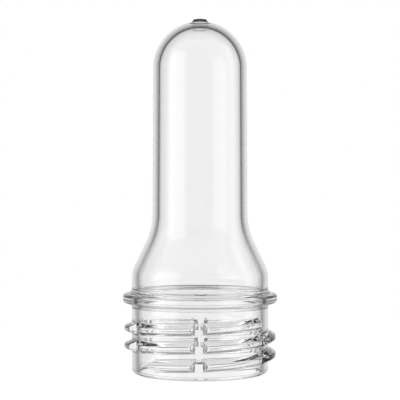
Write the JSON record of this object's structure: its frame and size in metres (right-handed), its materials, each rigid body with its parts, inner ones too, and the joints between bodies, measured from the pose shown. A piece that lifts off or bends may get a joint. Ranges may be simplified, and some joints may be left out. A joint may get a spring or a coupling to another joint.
{
  "type": "bottle preform",
  "caption": "Clear bottle preform standing on its open rim: screw neck with vent slots across the thread, support ring, flare and closed domed tube body.",
  "frame": {"origin": "centre of the open rim, which the preform stands on", "axes": "+Z along the axis, from the rim towards the closed dome"},
  "size_m": [0.0282, 0.0282, 0.0646],
  "materials": {
    "clear_pet": "clear polished moulding"
  },
  "bodies": {
    "root": {"preform": "clear_pet"}
  },
  "joints": []
}
